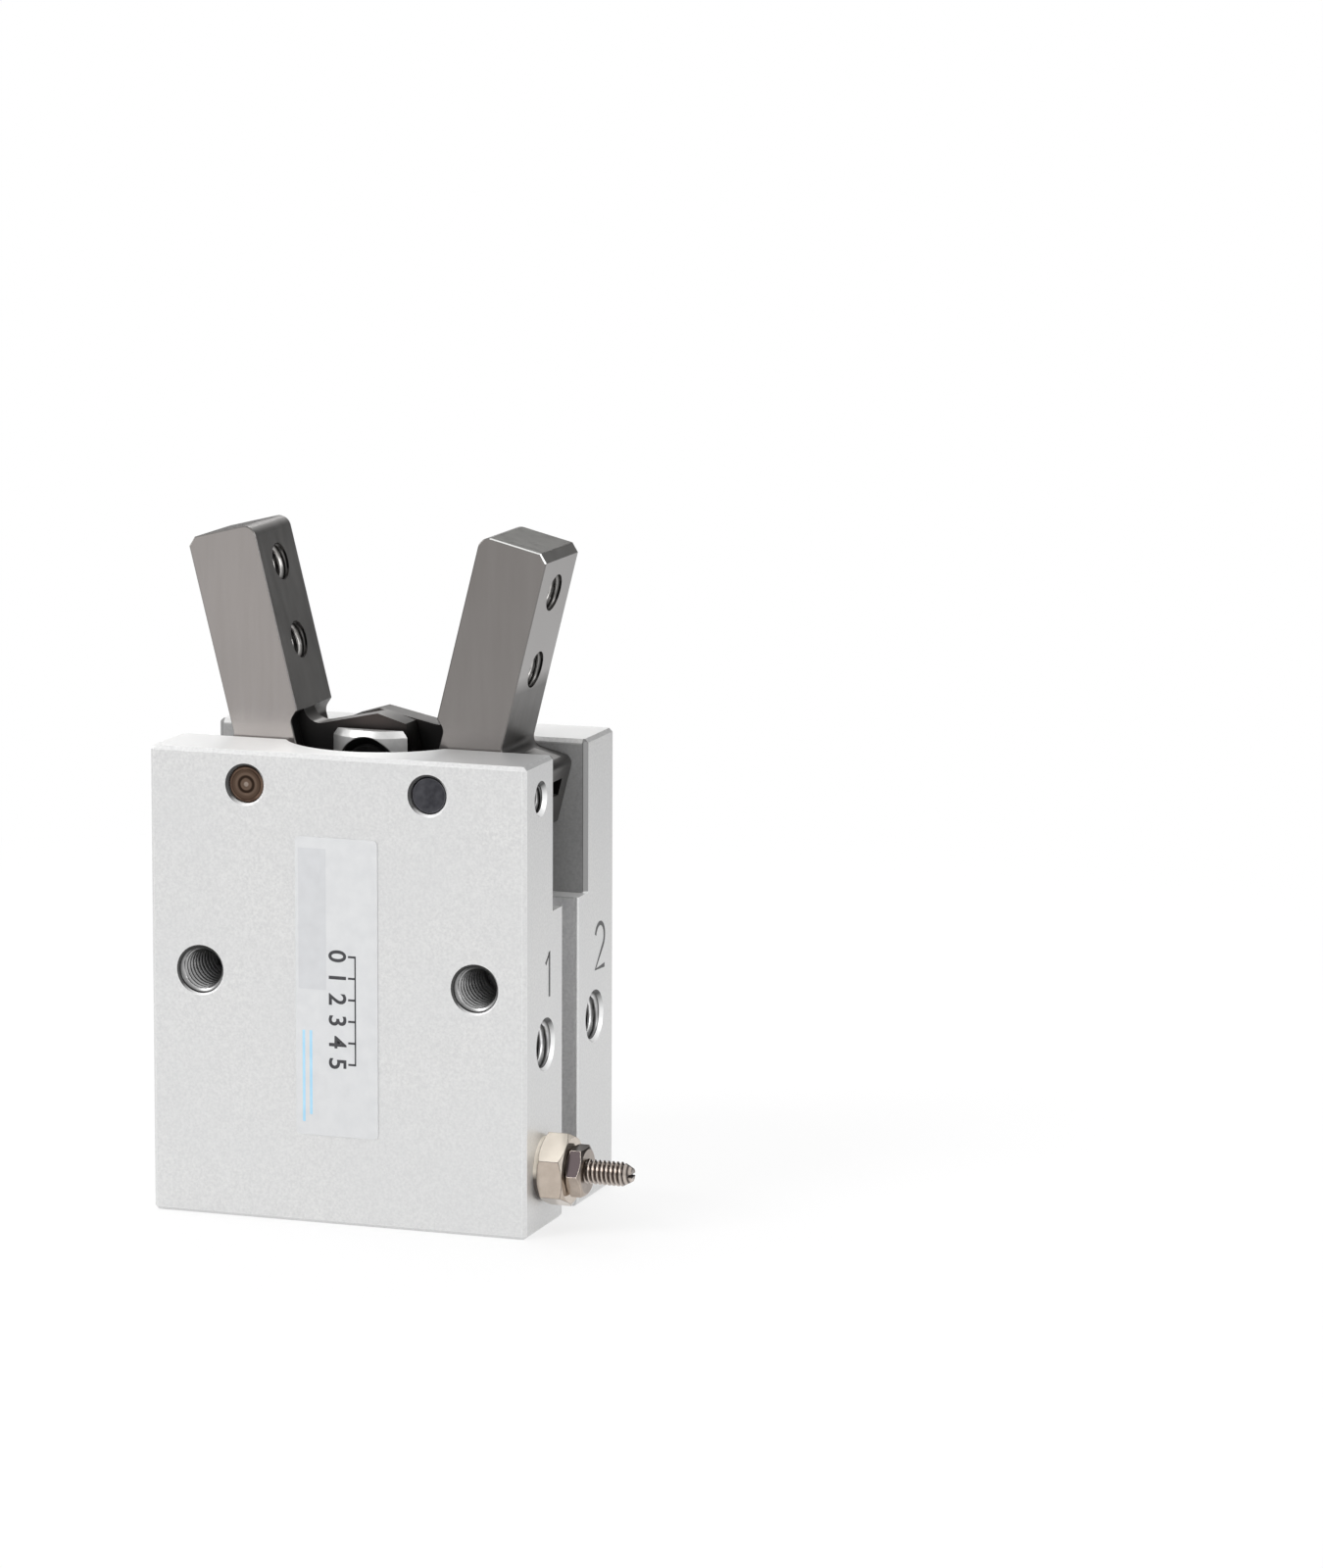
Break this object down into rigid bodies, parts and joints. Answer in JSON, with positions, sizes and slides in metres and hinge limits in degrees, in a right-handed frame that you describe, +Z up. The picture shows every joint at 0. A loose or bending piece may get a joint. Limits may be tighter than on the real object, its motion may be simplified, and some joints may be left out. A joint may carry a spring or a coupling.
{
  "type": "pneumatic angular gripper",
  "caption": "Pneumatic angular gripper: a block with a piston that swings two threaded fingers open and shut about pins, with air ports and a needle valve.",
  "frame": {"origin": "centre of the body's bottom face, midway between the two bottom mounting threads", "axes": "+Z up along the piston towards the fingers, +X right along the front face towards the air ports, +Y to the back"},
  "size_m": [0.0519, 0.0277, 0.0724],
  "materials": {
    "anodised_body": "fine blasted and clear anodised",
    "finger_steel": "ground and heat treated, warm grey",
    "bronze_bush": "sintered",
    "tempered_pin": "turned, tempered brown",
    "blackened_pin": "blackened",
    "blackened_steel": "blackened",
    "bright_steel": "turned and polished",
    "plain_aluminium": "turned",
    "seal_rubber": "matt",
    "pale_washer": "matt, cream",
    "magnet_rubber": "matt",
    "bearing_plastic": "matt",
    "nickel_plated_brass": "nickel plated",
    "needle_steel": "nickel plated",
    "label_film": "satin film"
  },
  "bodies": {
    "housing": {"body": "anodised_body", "rod_bush": "bronze_bush", "pivot_pin_left": "tempered_pin", "pivot_pin_right": "blackened_pin", "pin_grub_screw_left": "blackened_steel", "pin_grub_screw_right": "blackened_steel", "retaining_ring_upper": "blackened_steel", "retaining_ring_lower": "blackened_steel", "air_way_plugs": "blackened_steel", "rod_cover": "plain_aluminium", "head_cap": "plain_aluminium", "rod_seal": "seal_rubber", "rod_cover_o_ring": "seal_rubber", "head_cap_o_ring": "seal_rubber", "bumper_upper": "seal_rubber", "bumper_lower": "seal_rubber", "needle_valve_gasket": "pale_washer", "needle_valve_body": "nickel_plated_brass", "label": "label_film"},
    "finger_right": {"finger_right": "finger_steel", "finger_bush_right": "bronze_bush"},
    "finger_left": {"finger_left": "finger_steel", "finger_bush_left": "bronze_bush"},
    "piston": {"rod_end": "bright_steel", "cross_pin": "blackened_steel", "piston_rod": "bright_steel", "piston": "plain_aluminium", "piston_seal": "seal_rubber", "piston_wear_ring": "bearing_plastic", "magnet_ring": "magnet_rubber", "piston_screw": "blackened_steel"},
    "roller_front": {"roller_front": "bright_steel"},
    "roller_rear": {"roller_rear": "bright_steel"},
    "needle_screw": {"needle_screw": "needle_steel"},
    "lock_nut": {"needle_lock_nut": "nickel_plated_brass"}
  },
  "joints": [
    {"name": "finger_right_swing", "type": "hinge", "parent": "housing", "child": "finger_right", "pos_m": [0.0102, 0, 0.0464], "axis": [0, -1, 0], "range_deg": [-1, 19]},
    {"name": "finger_left_swing", "type": "hinge", "parent": "housing", "child": "finger_left", "pos_m": [-0.0102, 0, 0.0464], "axis": [0, 1, 0], "range_deg": [-1, 19]},
    {"name": "piston_slide", "type": "slide", "parent": "housing", "child": "piston", "axis": [0, 0, 1], "range_m": [-0.0034, 0.00018]},
    {"name": "roller_front_spin", "type": "hinge", "parent": "piston", "child": "roller_front", "pos_m": [0, 0, 0.0474], "axis": [0, 1, 0], "continuous": true},
    {"name": "roller_rear_spin", "type": "hinge", "parent": "piston", "child": "roller_rear", "pos_m": [0, 0, 0.0474], "axis": [0, 1, 0], "continuous": true},
    {"name": "needle_screw_travel", "type": "slide", "parent": "housing", "child": "needle_screw", "axis": [1, 0, 0], "range_m": [-0.0005, 0.0005]},
    {"name": "lock_nut_turn", "type": "hinge", "parent": "housing", "child": "lock_nut", "pos_m": [0.025, -0.0082, 0.0066], "axis": [1, 0, 0], "range_deg": [0, 360]}
  ],
  "couplings": [
    {"joint": "finger_left_swing", "follows": "piston_slide", "rad_per_m": -97.66},
    {"joint": "finger_right_swing", "follows": "piston_slide", "rad_per_m": -97.66}
  ]
}
